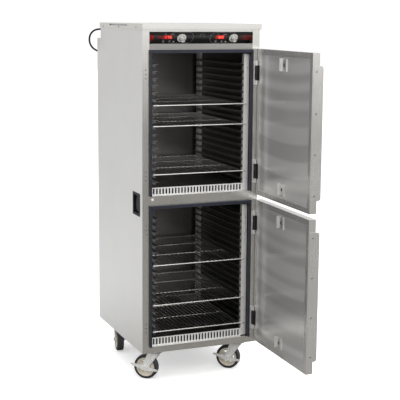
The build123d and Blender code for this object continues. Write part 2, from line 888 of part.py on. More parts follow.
def cord_tube(name, points):
    """Tube along straight runs joined by tangent arcs."""
    spots = [at(*p) for p in points]
    radii = corner_radii(points)
    path = FilletPolyline(*spots, radius=radii)
    section = Plane(origin=path @ 0, z_dir=path % 0) * Circle(cord_diameter / 2)
    tube = sweep(section, path)
    expected = math.pi * (cord_diameter / 2) ** 2 * path.length
    runs = [round((b - a).length) for a, b in zip(spots, spots[1:])]
    print(name, "length", round(path.length, 1), "volume ratio", round(tube.volume / expected, 4))
    print(name, "runs", runs)
    print(name, "radii", [round(r) for r in radii])
    return tube


def strain_relief():
    """Flange, neck and tapered sleeve where the cord leaves the housing."""
    x, y, z = cord_exit
    flange = disc(at(x, y + 0.1, z), (0, 1, 0), 10.5, 3)
    neck = disc(at(x, y - 6, z), (0, 1, 0), relief_neck, 7)
    tip = cord_diameter / 2 + 1.5
    sleeve = Plane(origin=at(x, y + 3, z), z_dir=(0, 1, 0)) * Cone(
        relief_neck, tip, relief_length - 3, align=(Align.CENTER, Align.CENTER, Align.MIN)
    )
    return flange + neck + sleeve


def cord_coil():
    """Outer shape of the stored turns, lying on the floor."""
    ring = Cylinder(coil_radius + coil_width / 2, coil_height) - Cylinder(
        coil_radius - coil_width / 2, coil_height + 2
    )
    return Pos(at(*coil_centre, coil_height / 2 - caster_height)) * fillet(
        ring.edges().filter_by(GeomType.CIRCLE), 4
    )


def plug():
    """Straight three-pin plug lying on the floor."""
    start = at(*plug_start)
    heading = (start - at(*tail_route[-2])).normalized()
    body = disc(start, heading, plug_radius - 0.2, plug_length)
    body = fillet(body.edges().filter_by(GeomType.CIRCLE), 4)
    face = Plane(origin=start + heading * plug_length, x_dir=(0, 0, 1), z_dir=heading)
    for u, v, w, h in ((5, 6.3, 6.3, 1.6), (5, -6.3, 1.6, 6.3)):
        body += face * (Pos(u, v, 7) * Box(w, h, 16))
    body += face * (Pos(-5, 0, 8) * Cylinder(2.4, 18))
    return body


def cord_clip():
    """Saddle clip on the rear cover that carries the cord, halfway along one run."""
    start, end = at(*cord_route[8]), at(*cord_route[9])
    middle = (start + end) / 2
    along = end - start
    face = Plane(origin=middle, x_dir=along.cross(Vector(0, 1, 0)).normalized(), z_dir=along)
    reach = middle.Y - at(0, body_depth, 0).Y - 0.1
    ring = face * (Cylinder(cord_diameter / 2 + 2.2, 14) - Cylinder(cord_diameter / 2 + 0.3, 16))
    foot = face * (Pos(13, 0, 0) * Box(18, 2.0, 14))
    foot = foot.moved(Location((0, -reach + 1.0, 0)))
    neck = face * (Pos(6.3, 0, 0) * Box(2.2, 8, 14))
    neck = neck.moved(Location((0, -reach / 2 + 0.5, 0)))
    return ring + neck + foot


# ---- fasteners ----------------------------------------------------------------
def body_fasteners():
    """Screws in the stiles, sides, mid rail and ledge, and the caster bolts' heads."""
    heads = []
    hinge_spots = [*hinge_centres(*upper_door), *hinge_centres(*lower_door)]
    screw_pitch, screw_inset = 21.5, 20.0
    for z in hinge_spots:
        for k in (-1, 0, 1):
            heads.append(disc(at(screw_inset, -0.1, z + k * screw_pitch), (0, -1, 0), 3.2, 1.0))
    heads.append(disc(at(54, -0.1, (mid_rail_bottom + mid_rail_top) / 2 + 6), (0, -1, 0), 6, 3.0))
    cap_screw_z = body_height - cap_height + 9
    for y in (80.0, 352.0, 620.0):
        heads.append(disc(at(-cap_side_overhang - 0.1, y, cap_screw_z), (-1, 0, 0), 3.5, 1.2))
        heads.append(disc(at(body_width + cap_side_overhang + 0.1, y, cap_screw_z), (1, 0, 0), 3.5, 1.2))
    for x in (24.0, body_width / 2, body_width - 24.0):
        for z in (40.0, 400.0, 790.0, 1180.0, 1545.0):
            heads.append(disc(at(x, body_depth + 0.1, z), (0, 1, 0), 4, 1.6))
    bolt_head = 4.5
    for name, x, y, heading, braked in casters:
        for sx in (-1, 1):
            for sy in (-1, 1):
                spot = at(
                    x + sx * (plate_size[0] / 2 - 10), y + sy * (plate_size[1] / 2 - 10), -plate_thick - 0.3
                )
                heads.append(disc(spot, (0, 0, -1), 5.5, bolt_head))
    return heads


# ---- write every sub-part -------------------------------------------------------
node("left_side_panel", *side_panel(True))
node("right_side_panel", *side_panel(False))
node("top_cap", top_cap())
node("rear_panels", rear_cover(), housing_back(), cord_clip())
node("base_chassis", *base_chassis())
node("front_frame", *front_frame())
node("upper_liner", *liner(upper_floor, mid_rail_top))
node("lower_liner", *liner(lower_floor, sill_height))
node("insulation", *insulation())
node("uprights", *uprights(upper_floor), *uprights(lower_floor))
node("tray_slides", *tray_slides(upper_floor), *tray_slides(lower_floor))
node("floor_grilles", *floor_grille(upper_floor, mid_rail_top), *floor_grille(lower_floor, sill_height))
node("heating_elements", heating_element(upper_floor), heating_element(lower_floor))
node(
    "door_gaskets",
    *gasket(mid_rail_top, header_bottom),
    *gasket(sill_height, mid_rail_bottom),
)
node("control_panel", *control_panel())
node("display_lenses", *display_lenses())
node("dial_rings", *dial_rings())
node("grip_cups", grip_cup(True), grip_cup(False))
node("left_knob", knob(groups[0]))
node("right_knob", knob(groups[1]))
for side, shift in zip(("left", "right"), groups):
    for number, (u, v) in enumerate(button_centres, 1):
        node(f"{side}_button_{number}", push_button(u + shift, v))
node("power_rocker", rocker())

shelf = wire_shelf()
for label, levels, floor in (
    ("upper", upper_shelf_levels, upper_floor),
    ("lower", lower_shelf_levels, lower_floor),
):
    for number, level in enumerate(levels, 1):
        lift = Pos(0, 0, shelf_height(floor, level))
        node(f"{label}_shelf_{number}", *[lift * piece for piece in shelf])

frame_leaves = []
for label, (z0, z1) in (("upper", upper_door), ("lower", lower_door)):
    node(f"{label}_door_skin", opened(door_skin(z0, z1)))
    node(f"{label}_door_liner", opened(door_liner(z0, z1)))
    node(f"{label}_door_insulation", opened(door_core(z0, z1)))
    node(f"{label}_door_handle", *[opened(p) for p in handle(z0, z1)])
    node(f"{label}_door_vent_plates", *[opened(p) for p in vent_plates(z0, z1)])
    node(f"{label}_door_hinge_leaves", *[opened(door_leaf(z)) for z in hinge_centres(z0, z1)])
    for z in hinge_centres(z0, z1):
        frame_leaves += frame_leaf(z)
node("frame_hinge_leaves", *frame_leaves)

plates = []
for name, x, y, heading, braked in casters:
    plates.append(placed(caster_plate(), x, y, 0))
    node(f"{name}_fork", *[placed(p, x, y, heading) for p in fork(braked)])
    node(f"{name}_wheel", *[placed(p, x, y, heading) for p in wheel()])
    if braked:
        node(f"{name}_brake_lever", placed(brake_lever(), x, y, heading))
node("caster_plates", *plates)
node("body_fasteners", *body_fasteners())

node("strain_relief", strain_relief())
coil = cord_coil()
node("cord_coil", coil)
node(
    "power_cord",
    cord_tube("cord", cord_route + [coil_entry]) - coil,
    cord_tube("tail", tail_route) - coil,
)
node("plug", plug())
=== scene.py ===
import math

import bmesh
import bpy
from mathutils import Matrix, Vector


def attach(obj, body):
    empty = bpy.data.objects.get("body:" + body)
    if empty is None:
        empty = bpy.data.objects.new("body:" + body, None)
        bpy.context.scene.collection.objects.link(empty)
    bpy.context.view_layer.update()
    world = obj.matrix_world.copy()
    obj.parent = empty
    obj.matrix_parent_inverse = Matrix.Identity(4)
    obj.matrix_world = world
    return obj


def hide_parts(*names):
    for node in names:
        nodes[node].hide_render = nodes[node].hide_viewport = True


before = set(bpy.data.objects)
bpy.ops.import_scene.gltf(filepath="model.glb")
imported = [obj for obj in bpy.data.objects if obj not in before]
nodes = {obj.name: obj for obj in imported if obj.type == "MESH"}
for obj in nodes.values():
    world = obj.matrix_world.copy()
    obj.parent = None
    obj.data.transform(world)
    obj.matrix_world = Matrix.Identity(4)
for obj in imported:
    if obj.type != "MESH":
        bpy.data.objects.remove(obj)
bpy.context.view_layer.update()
print("stage: frame loaded")

body = {"width": 630, "depth": 742, "caster": 157}  # millimetres; the casters lift it by the last


# from millimetres off the body's left front bottom corner to metres in the row frame
def at(x, y, z):
    return Vector((x - body["width"] / 2, y - body["depth"] / 2, z + body["caster"])) / 1000


# camera
camera = {
    "place": (-2.0485, -5.3273, 1.8615),
    "heading": 22.291,  # degrees to the right
    "down": 9.199,
    "roll": 0.402,
    "lens": 96.5,
    "sensor": 36,
    "reach": 60,
    "shift": (0.0052, -0.0286),
}


def makeCamera(c):
    a, p, r = (math.radians(c[k]) for k in ("heading", "down", "roll"))
    forward = Vector((math.sin(a) * math.cos(p), math.cos(a) * math.cos(p), -math.sin(p)))
    right = Vector((math.cos(a), -math.sin(a), 0))
    up = right.cross(forward)
    side = right * math.cos(r) + up * math.sin(r)
    top = up * math.cos(r) - right * math.sin(r)
    data = bpy.data.cameras.new("camera")
    data.lens = c["lens"]
    data.sensor_width = c["sensor"]
    data.shift_x, data.shift_y = c["shift"]
    data.clip_end = c["reach"]
    obj = bpy.data.objects.new("camera", data)
    turn = Matrix((side, top, -forward)).transposed().to_4x4()
    obj.matrix_world = Matrix.Translation(c["place"]) @ turn
    bpy.context.collection.objects.link(obj)
    bpy.context.scene.camera = obj


makeCamera(camera)
print("stage: camera placed")


# mesh helpers
def linkMesh(name, bm, bodyName="cabinet", smooth=False):
    mesh = bpy.data.meshes.new(name)
    bm.to_mesh(mesh)
    bm.free()
    obj = bpy.data.objects.new(name, mesh)
    bpy.context.collection.objects.link(obj)
    for face in mesh.polygons:
        face.use_smooth = smooth
    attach(obj, bodyName)
    return obj


def addBox(bm, a, b):  # between two opposite corners
    low = Vector([min(pair) for pair in zip(a, b)])
    high = Vector([max(pair) for pair in zip(a, b)])
    m = Matrix.Translation((low + high) / 2) @ Matrix.Diagonal((*(high - low), 1))
    bmesh.ops.create_cube(bm, size=1, matrix=m)


def addDisc(bm, place, radius, low, high, segments, tip=None):  # a cone if the tip differs
    bmesh.ops.create_cone(
        bm,
        cap_ends=True,
        segments=segments,
        radius1=radius,
        radius2=radius if tip is None else tip,
        depth=high - low,
        matrix=place @ Matrix.Translation((0, 0, (low + high) / 2)),
    )


def axisFrame(origin, direction):  # Z runs along the direction
    turn = Vector(direction).to_track_quat("Z", "Y").to_matrix().to_4x4()
    return Matrix.Translation(origin) @ turn


# shader helpers
def newGroup(name, inputs, outputs):
    group = bpy.data.node_groups.new(name, "ShaderNodeTree")
    for label, kind, value in inputs:
        socket = group.interface.new_socket(label, in_out="INPUT", socket_type=kind)
        if value is not None:
            socket.default_value = value
    for label, kind in outputs:
        group.interface.new_socket(label, in_out="OUTPUT", socket_type=kind)
    start = group.nodes.new("NodeGroupInput")
    end = group.nodes.new("NodeGroupOutput")
    return group, start, end


def addNode(tree, kind, **settings):
    node = tree.nodes.new(kind)
    for key, value in settings.items():
        setattr(node, key, value)
    return node


def join(tree, source, target):
    tree.links.new(source, target)


def mathNode(tree, operation, a, b=None):
    node = addNode(tree, "ShaderNodeMath", operation=operation)
    for i, value in enumerate((a, b)):
        if value is None:
            continue
        if hasattr(value, "links"):
            join(tree, value, node.inputs[i])
        else:
            node.inputs[i].default_value = value
    return node.outputs[0]


def mapRange(tree, value, fromLow, fromHigh, low, high):
    node = addNode(tree, "ShaderNodeMapRange")
    join(tree, value, node.inputs["Value"])
    ends = {"From Min": fromLow, "From Max": fromHigh, "To Min": low, "To Max": high}
    for label, number in ends.items():
        node.inputs[label].default_value = number
    return node.outputs["Result"]


def splitAxes(tree, vector):
    node = addNode(tree, "ShaderNodeSeparateXYZ")
    join(tree, vector, node.inputs[0])
    return node.outputs


def scaleColour(tree, colour, amount):
    node = addNode(tree, "ShaderNodeVectorMath", operation="SCALE")
    join(tree, colour, node.inputs[0])
    join(tree, amount, node.inputs["Scale"])
    return node.outputs[0]


def mixColours(tree, amount, first, second):  # each colour is a socket or three numbers
    mix = addNode(tree, "ShaderNodeMix", data_type="RGBA")
    join(tree, amount, mix.inputs["Factor"])
    for label, colour in (("A", first), ("B", second)):
        if hasattr(colour, "links"):
            join(tree, colour, mix.inputs[label])
        else:
            mix.inputs[label].default_value = (*colour, 1)
    return mix.outputs["Result"]


def colourRamp(tree, value, low, high, dark, light):
    return mixColours(tree, mapRange(tree, value, low, high, 0.0, 1.0), dark, light)


brushing = {"stretch": (900.0, 900.0, 6.0), "detail": 3.0, "patchScale": 5.0, "patchDetail": 4.0}


def makeGrainGroup(s):  # fine lines left by brushing, drawn out along one axis
    group, start, end = newGroup(
        "brushedGrain",
        [("Vector", "NodeSocketVector", None), ("Stretch", "NodeSocketVector", s["stretch"])],
        [("Grain", "NodeSocketFloat"), ("Patch", "NodeSocketFloat")],
    )
    scaled = addNode(group, "ShaderNodeVectorMath", operation="MULTIPLY")
    join(group, start.outputs["Vector"], scaled.inputs[0])
    join(group, start.outputs["Stretch"], scaled.inputs[1])
    fine = addNode(group, "ShaderNodeTexNoise")
    fine.inputs["Scale"].default_value = 1.0
    fine.inputs["Detail"].default_value = s["detail"]
    join(group, scaled.outputs[0], fine.inputs["Vector"])
    patch = addNode(group, "ShaderNodeTexNoise")
    patch.inputs["Scale"].default_value = s["patchScale"]
    patch.inputs["Detail"].default_value = s["patchDetail"]
    join(group, start.outputs["Vector"], patch.inputs["Vector"])
    join(group, fine.outputs[0], end.inputs["Grain"])
    join(group, patch.outputs[0], end.inputs["Patch"])
    return group


warping = {"scale": 3.0, "detail": 1.0, "roughness": 0.3}


def makeWarpGroup(s):  # slow waves left in rolled sheet
    group, start, end = newGroup(
        "sheetWarp",
        [("Vector", "NodeSocketVector", None), ("Scale", "NodeSocketFloat", s["scale"])],
        [("Height", "NodeSocketFloat")],
    )
    wave = addNode(group, "ShaderNodeTexNoise")
    wave.inputs["Detail"].default_value = s["detail"]
    wave.inputs["Roughness"].default_value = s["roughness"]
    join(group, start.outputs["Vector"], wave.inputs["Vector"])
    join(group, start.outputs["Scale"], wave.inputs["Scale"])
    join(group, wave.outputs[0], end.inputs["Height"])
    return group


mottling = {"scale": 300.0, "detail": 2.0, "broad": 0.06}


def makeSpeckleGroup(s):  # small mottling of cast, moulded and plated surfaces
    group, start, end = newGroup(
        "speckle",
        [("Vector", "NodeSocketVector", None), ("Scale", "NodeSocketFloat", s["scale"])],
        [("Fine", "NodeSocketFloat"), ("Broad", "NodeSocketFloat")],
    )
    fine = addNode(group, "ShaderNodeTexNoise")
    fine.inputs["Detail"].default_value = s["detail"]
    join(group, start.outputs["Vector"], fine.inputs["Vector"])
    join(group, start.outputs["Scale"], fine.inputs["Scale"])
    broad = addNode(group, "ShaderNodeTexNoise")
    join(group, start.outputs["Vector"], broad.inputs["Vector"])
    coarse = mathNode(group, "MULTIPLY", start.outputs["Scale"], s["broad"])
    join(group, coarse, broad.inputs["Scale"])
    join(group, fine.outputs[0], end.inputs["Fine"])
    join(group, broad.outputs[0], end.inputs["Broad"])
    return group


grainGroup = makeGrainGroup(brushing)
warpGroup = makeWarpGroup(warping)
speckleGroup = makeSpeckleGroup(mottling)
print("stage: shared surface effects made")


def newMaterial(name, metallic, coat=0.0):
    material = bpy.data.materials.new(name)
    material.use_nodes = True
    tree = material.node_tree
    shader = tree.nodes["Principled BSDF"]
    shader.inputs["Metallic"].default_value = metallic
    shader.inputs["Coat Weight"].default_value = coat
    place = addNode(tree, "ShaderNodeTexCoord").outputs["Object"]
    return material, tree, shader, place


def useGroup(tree, group, place, **values):
    node = addNode(tree, "ShaderNodeGroup", node_tree=group)
    join(tree, place, node.inputs["Vector"])
    for label, value in values.items():
        node.inputs[label].default_value = value
    return node


def bump(tree, shader, height, strength, distance, under=None):
    node = addNode(tree, "ShaderNodeBump")
    node.inputs["Strength"].default_value = strength
    node.inputs["Distance"].default_value = distance
    join(tree, height, node.inputs["Height"])
    if under is not None:
        join(tree, under, node.inputs["Normal"])
    join(tree, node.outputs[0], shader.inputs["Normal"])
    return node.outputs[0]


def addPaintedReflections(tree, place, colour, s):  # painted reflection: soft bowed light and dark bands across a polished sheet
    axes = splitAxes(tree, place)
    off = mathNode(tree, "ADD", axes["Y"], s["middle"])
    bow = mathNode(tree, "MULTIPLY", mathNode(tree, "MULTIPLY", off, off), -s["sag"])
    height = mathNode(tree, "MULTIPLY", mathNode(tree, "ADD", axes["Z"], bow), s["pitch"])
    noise = addNode(tree, "ShaderNodeTexNoise", noise_dimensions="1D")
    noise.inputs["Detail"].default_value = 0.0
    noise.inputs["Scale"].default_value = 1.0
    join(tree, height, noise.inputs["W"])
    low, high = s["edges"]
    amount = mapRange(tree, noise.outputs[0], low, high, 1.0 - s["depth"], 1.0 + s["depth"])
    return scaleColour(tree, colour, amount)


# painted reflection bands for the door liner's colour
doorReflectionBands = {"sag": 0.25, "middle": 0.68, "pitch": 12.0, "depth": 0.13, "edges": (0.42, 0.58)}
# noise values that the tones and the roughness run between, and the fine relief's depth in metres
steelLook = {"tones": (0.75, 1.25), "roughs": (0.7, 1.3), "relief": 0.0002}


def makeSteel(name, s):
    material, tree, shader, place = newMaterial(name, s.get("metallic", 1.0))
    grain = useGroup(tree, grainGroup, place, Stretch=s["stretch"])
    dark = [c * (1 - s["contrast"]) for c in s["colour"]]
    light = [min(1, c * (1 + s["contrast"])) for c in s["colour"]]
    tone = mathNode(tree, "ADD", grain.outputs["Grain"], grain.outputs["Patch"])
    colour = colourRamp(tree, tone, *steelLook["tones"], dark, light)
    # painted reflection: the bowed bands darken and lighten the colour
    if "reflectionBands" in s:
        colour = addPaintedReflections(tree, place, colour, s["reflectionBands"])
    join(tree, colour, shader.inputs["Base Color"])
    least, most = s["roughness"] - s["spread"], s["roughness"] + s["spread"]
    rough = mapRange(tree, tone, *steelLook["roughs"], least, most)
    join(tree, rough, shader.inputs["Roughness"])
    warp = useGroup(tree, warpGroup, place, Scale=s["warpScale"])
    slow = bump(tree, shader, warp.outputs["Height"], 1.0, s["warp"])
    bump(tree, shader, grain.outputs["Grain"], s["grain"], steelLook["relief"], slow)
    return material


steels = {
    "sideSteel": {
        "colour": (0.70, 0.70, 0.695), "contrast": 0.03, "roughness": 0.42, "spread": 0.05,
        "stretch": (900.0, 900.0, 7.0), "warpScale": 1.4, "warp": 0.004, "grain": 0.08,
    },
    "frameSteel": {
        "colour": (0.70, 0.69, 0.665), "contrast": 0.025, "roughness": 0.24, "spread": 0.03,
        "stretch": (600.0, 600.0, 12.0), "warpScale": 3.0, "warp": 0.001, "grain": 0.03,
    },
    "doorSteel": {
        "colour": (0.74, 0.735, 0.72), "contrast": 0.025, "roughness": 0.25, "spread": 0.03,
        "metallic": 0.75, "stretch": (700.0, 700.0, 10.0), "warpScale": 1.6, "warp": 0.0015,
        "grain": 0.03,
    },
    "doorSheet": {
        "colour": (0.76, 0.755, 0.745), "contrast": 0.02, "roughness": 0.24, "spread": 0.03,
        "metallic": 0.62, "stretch": (700.0, 700.0, 10.0), "warpScale": 2.6, "warp": 0.006,
        "grain": 0.03, "reflectionBands": doorReflectionBands,
    },
    # painted shade: the liner steel is coloured dark to stand for the shade inside the
    # compartments
    "linerSteelShaded": {
        "colour": (0.16, 0.155, 0.15), "contrast": 0.08, "roughness": 0.34, "spread": 0.06,
        "stretch": (12.0, 500.0, 500.0), "warpScale": 3.0, "warp": 0.004, "grain": 0.25,
    },
    "slideSteel": {
        "colour": (0.32, 0.31, 0.30), "contrast": 0.08, "roughness": 0.34, "spread": 0.06,
        "stretch": (12.0, 500.0, 500.0), "warpScale": 3.0, "warp": 0.002, "grain": 0.2,
    },
    "brightSteel": {
        "colour": (0.86, 0.855, 0.84), "contrast": 0.03, "roughness": 0.28, "spread": 0.04,
        "metallic": 0.8, "stretch": (400.0, 400.0, 20.0), "warpScale": 6.0, "warp": 0.001,
        "grain": 0.05,
    },
    "uprightSteel": {
        "colour": (0.88, 0.875, 0.86), "contrast": 0.03, "roughness": 0.3, "spread": 0.04,
        "metallic": 0.55, "stretch": (400.0, 400.0, 20.0), "warpScale": 6.0, "warp": 0.001,
        "grain": 0.05,
    },
}
materials = {name: makeSteel(name, s) for name, s in steels.items()}


plainLook = {"tones": (0.35, 0.65), "roughs": (0.3, 0.7), "relief": 0.0003}


def makePlain(name, s):
    material, tree, shader, place = newMaterial(name, s["metallic"], s.get("coat", 0.0))
    mottle = useGroup(tree, speckleGroup, place, Scale=s["scale"])
    dark = [c * (1 - s["contrast"]) for c in s["colour"]]
    light = [min(1, c * (1 + s["contrast"])) for c in s["colour"]]
    colour = colourRamp(tree, mottle.outputs["Broad"], *plainLook["tones"], dark, light)
    join(tree, colour, shader.inputs["Base Color"])
    least, most = s["roughness"] - s["spread"], s["roughness"] + s["spread"]
    rough = mapRange(tree, mottle.outputs["Fine"], *plainLook["roughs"], least, most)
    join(tree, rough, shader.inputs["Roughness"])
    bump(tree, shader, mottle.outputs["Fine"], s["bump"], plainLook["relief"])
    shader.inputs["Specular IOR Level"].default_value = s.get("specular", 0.5)
    if "glow" in s:
        shader.inputs["Emission Color"].default_value = (*s["glow"], 1)
        shader.inputs["Emission Strength"].default_value = s["power"]
    return material


plains = {
    "zincPlate": {
        "colour": (0.88, 0.88, 0.87), "contrast": 0.05, "metallic": 0.6, "roughness": 0.3,
        "spread": 0.08, "scale": 350.0, "bump": 0.12,
    },
    "dullZinc": {
        "colour": (0.22, 0.22, 0.22), "contrast": 0.08, "metallic": 1.0, "roughness": 0.4,
        "spread": 0.08, "scale": 350.0, "bump": 0.12,
    },
    "greyPlastic": {
        "colour": (0.085, 0.085, 0.088), "contrast": 0.1, "metallic": 0.0, "roughness": 0.45,
        "spread": 0.06, "scale": 700.0, "bump": 0.1,
    },
    "cupPlastic": {
        "colour": (0.007, 0.007, 0.008), "contrast": 0.2, "metallic": 0.0, "roughness": 0.55,
        "spread": 0.06, "scale": 700.0, "bump": 0.15, "specular": 0.25,
    },
    "galvanised": {
        "colour": (0.45, 0.46, 0.47), "contrast": 0.18, "metallic": 1.0, "roughness": 0.45,
        "spread": 0.1, "scale": 160.0, "bump": 0.2,
    },
    "chromeWire": {
        "colour": (0.78, 0.77, 0.75), "contrast": 0.04, "metallic": 1.0, "roughness": 0.2,
        "spread": 0.05, "scale": 260.0, "bump": 0.06,
    },
    "blackPlastic": {
        "colour": (0.012, 0.012, 0.013), "contrast": 0.2, "metallic": 0.0, "roughness": 0.42,
        "spread": 0.08, "scale": 700.0, "bump": 0.25,
    },
    "panelFilm": {
        "colour": (0.008, 0.008, 0.009), "contrast": 0.15, "metallic": 0.0, "roughness": 0.2,
        "spread": 0.04, "scale": 900.0, "bump": 0.1, "coat": 0.4,
    },
    "gasketRubber": {
        "colour": (0.010, 0.012, 0.026), "contrast": 0.2, "metallic": 0.0, "roughness": 0.55,
        "spread": 0.08, "scale": 400.0, "bump": 0.3,
    },
    "cordJacket": {
        "colour": (0.008, 0.008, 0.008), "contrast": 0.2, "metallic": 0.0, "roughness": 0.55,
        "spread": 0.08, "scale": 500.0, "bump": 0.2, "specular": 0.2,
    },
    "offWhite": {
        "colour": (0.80, 0.79, 0.76), "contrast": 0.03, "metallic": 0.0, "roughness": 0.4,
        "spread": 0.06, "scale": 600.0, "bump": 0.1,
    },
    "darkRed": {
        "colour": (0.13, 0.006, 0.006), "contrast": 0.15, "metallic": 0.0, "roughness": 0.22,
        "spread": 0.04, "scale": 500.0, "bump": 0.05, "glow": (0.5, 0.02, 0.015),
        "power": 0.10,
    },
    "litWindow": {
        "colour": (0.30, 0.012, 0.01), "contrast": 0.1, "metallic": 0.0, "roughness": 0.25,
        "spread": 0.04, "scale": 500.0, "bump": 0.05, "glow": (1.0, 0.02, 0.012),
        "power": 0.16,
    },
    "litRed": {
        "colour": (0.8, 0.1, 0.06), "contrast": 0.1, "metallic": 0.0, "roughness": 0.3,
        "spread": 0.04, "scale": 500.0, "bump": 0.05, "glow": (1.0, 0.10, 0.06), "power": 1.3,
    },
    "rockerRed": {
        "colour": (0.25, 0.008, 0.008), "contrast": 0.1, "metallic": 0.0, "roughness": 0.25,
        "spread": 0.04, "scale": 500.0, "bump": 0.05, "glow": (0.8, 0.02, 0.015),
        "power": 0.10,
    },
    "turnedAluminium": {
        "colour": (0.86, 0.86, 0.85), "contrast": 0.04, "metallic": 0.8, "roughness": 0.26,
        "spread": 0.06, "scale": 800.0, "bump": 0.1,
    },
    "greyInk": {
        "colour": (0.42, 0.42, 0.42), "contrast": 0.05, "metallic": 0.0, "roughness": 0.5,
        "spread": 0.05, "scale": 600.0, "bump": 0.03,
    },
    "battWool": {
        "colour": (0.75, 0.68, 0.42), "contrast": 0.25, "metallic": 0.0, "roughness": 0.95,
        "spread": 0.04, "scale": 500.0, "bump": 0.9,
    },
    "tieStrap": {
        "colour": (0.02, 0.02, 0.022), "contrast": 0.3, "metallic": 0.0, "roughness": 0.8,
        "spread": 0.08, "scale": 1500.0, "bump": 0.8,
    },
}
materials.update({name: makePlain(name, s) for name, s in plains.items()})
print("stage: plain materials made")

# painted shade on the rail under the control panel; tone is the share of its colour that is kept
headerRailShade = {"side": 38.2, "low": 1534.5, "high": 1564.5, "tone": 0.5}


def makeShadedRailFinish(name, s, rail):  # painted shade: a part of the front frame, between two heights, is painted darker
    material = makeSteel(name, s)
    tree = material.node_tree
    shader = tree.nodes["Principled BSDF"]
    axes = splitAxes(tree, addNode(tree, "ShaderNodeTexCoord").outputs["Object"])
    low = at(rail["side"], 0, rail["low"])
    high = at(body["width"] - rail["side"], 0, rail["high"])
    inside = None
    for axis, start, end in (("X", low.x, high.x), ("Z", low.z, high.z)):
        above = mathNode(tree, "GREATER_THAN", axes[axis], start)
        below = mathNode(tree, "LESS_THAN", axes[axis], end)
        part = mathNode(tree, "MULTIPLY", above, below)
        inside = part if inside is None else mathNode(tree, "MULTIPLY", inside, part)
    amount = mapRange(tree, inside, 0.0, 1.0, 1.0, rail["tone"])
    plain = shader.inputs["Base Color"].links[0].from_socket
    join(tree, scaleColour(tree, plain, amount), shader.inputs["Base Color"])
    return material


grilleFinish = {
    "split": -0.3537,  # metres; behind the slotted strip, the cover plate begins
    "soft": 0.0001,
    "strip": (0.90, 0.90, 0.89),
    # painted shade: the cover plate's dark colour stands for the shade under the lowest shelf
    "cover": (0.10, 0.098, 0.095),
    "metallic": (0.5, 1.0),
    "roughness": (0.34, 0.44),
    "mottling": 200.0,
    "roughs": (0.3, 0.7),
}


def makeGrilleFinish(s):  # bright slotted strip, and a cover plate behind it painted dark as painted shade
    material, tree, shader, place = newMaterial("grille", s["metallic"][0])
    near, far = s["split"] - s["soft"], s["split"] + s["soft"]
    back = mapRange(tree, splitAxes(tree, place)["Y"], near, far, 0.0, 1.0)
    colour = colourRamp(tree, back, 0.0, 1.0, s["strip"], s["cover"])
    join(tree, colour, shader.inputs["Base Color"])
    join(tree, mapRange(tree, back, 0.0, 1.0, *s["metallic"]), shader.inputs["Metallic"])
    mottle = useGroup(tree, speckleGroup, place, Scale=s["mottling"])
    rough = mapRange(tree, mottle.outputs["Broad"], *s["roughs"], *s["roughness"])
    join(tree, rough, shader.inputs["Roughness"])
    return material


wheelFinish = {
    "seam": 0.0495,  # metres from the axle; the rubber begins here
    "seamSoft": 0.0003,
    "tread": (0.0595, 0.062),
    "cream": (0.78, 0.74, 0.64),
    "creamDark": (0.68, 0.63, 0.53),
    "rubber": (0.014, 0.014, 0.015),
    "worn": (0.045, 0.045, 0.047),
    "mottling": 260.0,
    "roughness": (0.4, 0.6),
    "bump": 0.2,
}


def makeWheelFinish(name, centre, axle, s):  # rubber outside a radius, cream moulding inside
    material, tree, shader, place = newMaterial(name, 0.0)
    offset = addNode(tree, "ShaderNodeVectorMath", operation="SUBTRACT")
    join(tree, place, offset.inputs[0])
    offset.inputs[1].default_value = centre
    along = addNode(tree, "ShaderNodeVectorMath", operation="DOT_PRODUCT")
    join(tree, offset.outputs[0], along.inputs[0])
    along.inputs[1].default_value = axle
    length = addNode(tree, "ShaderNodeVectorMath", operation="LENGTH")
    join(tree, offset.outputs[0], length.inputs[0])
    square = mathNode(tree, "MULTIPLY", length.outputs["Value"], length.outputs["Value"])
    alongSquare = mathNode(tree, "MULTIPLY", along.outputs["Value"], along.outputs["Value"])
    radius = mathNode(tree, "SQRT", mathNode(tree, "SUBTRACT", square, alongSquare))
    near, far = s["seam"] - s["seamSoft"], s["seam"] + s["seamSoft"]
    isRubber = mapRange(tree, radius, near, far, 0.0, 1.0)
    isTread = mapRange(tree, radius, *s["tread"], 0.0, 1.0)
    mottle = useGroup(tree, speckleGroup, place, Scale=s["mottling"])
    tones = plainLook["tones"]
    cream = colourRamp(tree, mottle.outputs["Broad"], *tones, s["creamDark"], s["cream"])
    rubber = colourRamp(tree, isTread, 0.0, 1.0, s["rubber"], s["worn"])
    join(tree, mixColours(tree, isRubber, cream, rubber), shader.inputs["Base Color"])
    join(tree, mapRange(tree, isRubber, 0.0, 1.0, *s["roughness"]), shader.inputs["Roughness"])
    bump(tree, shader, mottle.outputs["Fine"], s["bump"], plainLook["relief"])
    return material


casters = {  # kingpin in plan, and the direction that each wheel points in, in degrees
    "front_left": {"pin": (83.5, 57), "heading": -40},
    "front_right": {"pin": (546.5, 57), "heading": -40},
    "rear_left": {"pin": (74, 624), "heading": 80},
    "rear_right": {"pin": (556, 624), "heading": 65},
}
trail, wheelRadius = 42, 63.5


def axleOf(c):  # wheel centre and axle direction at rest
    turn = math.radians(c["heading"])
    x = c["pin"][0] - trail * math.cos(turn)
    y = c["pin"][1] - trail * math.sin(turn)
    return at(x, y, wheelRadius - body["caster"]), Vector((-math.sin(turn), math.cos(turn), 0))


def finish(name, *nodeNames):
    for nodeName in nodeNames:
        for slot in nodes[nodeName].material_slots:
            slot.material = materials[name]


finish("sideSteel", "left_side_panel", "right_side_panel", "rear_panels")
finish("frameSteel", "top_cap")
